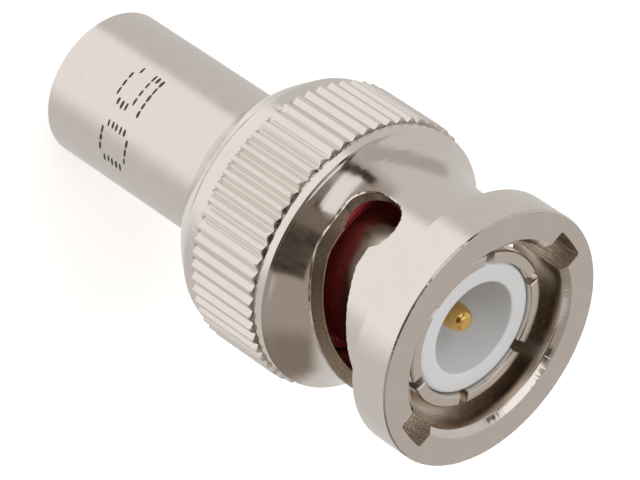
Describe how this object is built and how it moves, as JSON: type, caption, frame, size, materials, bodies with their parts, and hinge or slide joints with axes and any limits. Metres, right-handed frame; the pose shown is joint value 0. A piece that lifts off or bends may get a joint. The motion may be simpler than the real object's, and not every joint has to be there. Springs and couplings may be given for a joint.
{
  "type": "coaxial terminator",
  "caption": "Coaxial terminator: smooth closed barrel, knurled bayonet coupling nut with cam slots, slotted spring-finger contact, white insulator and a pin.",
  "frame": {"origin": "centre of the closed rear end face, which stands on the floor", "axes": "+Z along the axis from the closed rear end to the nose; +X and +Y across it, with the nut's bayonet entries at 60 and 240 degrees from +X at rest"},
  "size_m": [0.0144, 0.0144, 0.028],
  "materials": {
    "nickel": "satin nickel plate over brass",
    "gold": "gold plate over brass",
    "insulator": "smooth translucent white fluoropolymer",
    "gasket": "moulded silicone",
    "washer": "spring steel",
    "ceramic": "ceramic rod with lacquer",
    "tinned": "tinned",
    "solder": "bright solder",
    "bare_brass": "turned brass"
  },
  "bodies": {
    "root": {"barrel": "nickel", "plug_body": "nickel", "outer_contact": "nickel", "front_insulator": "insulator", "rear_insulator": "insulator", "centre_contact": "gold", "gasket": "gasket", "flange_washer": "washer", "wave_washer_rear": "washer", "wave_washer_middle": "washer", "wave_washer_front": "washer", "resistor_body": "ceramic", "resistor_front_cap": "tinned", "resistor_rear_cap": "tinned", "resistor_front_lead": "tinned", "resistor_rear_lead": "tinned", "front_solder": "solder", "rear_solder": "solder", "ground_bush": "bare_brass"},
    "nut_carrier": {"slip_washer": "washer"},
    "nut": {"coupling_nut": "nickel"}
  },
  "joints": [
    {"name": "nut_slide", "type": "slide", "parent": "root", "child": "nut_carrier", "axis": [0, 0, 1], "range_m": [0, 0.0017], "stiffness_N_per_m": 2000, "springref_m": -0.0005, "deforming": ["wave_washer_rear", "wave_washer_middle", "wave_washer_front"]},
    {"name": "nut_turn", "type": "hinge", "parent": "nut_carrier", "child": "nut", "pos_m": [0, 0, 0.02], "axis": [0, 0, 1], "continuous": true}
  ]
}
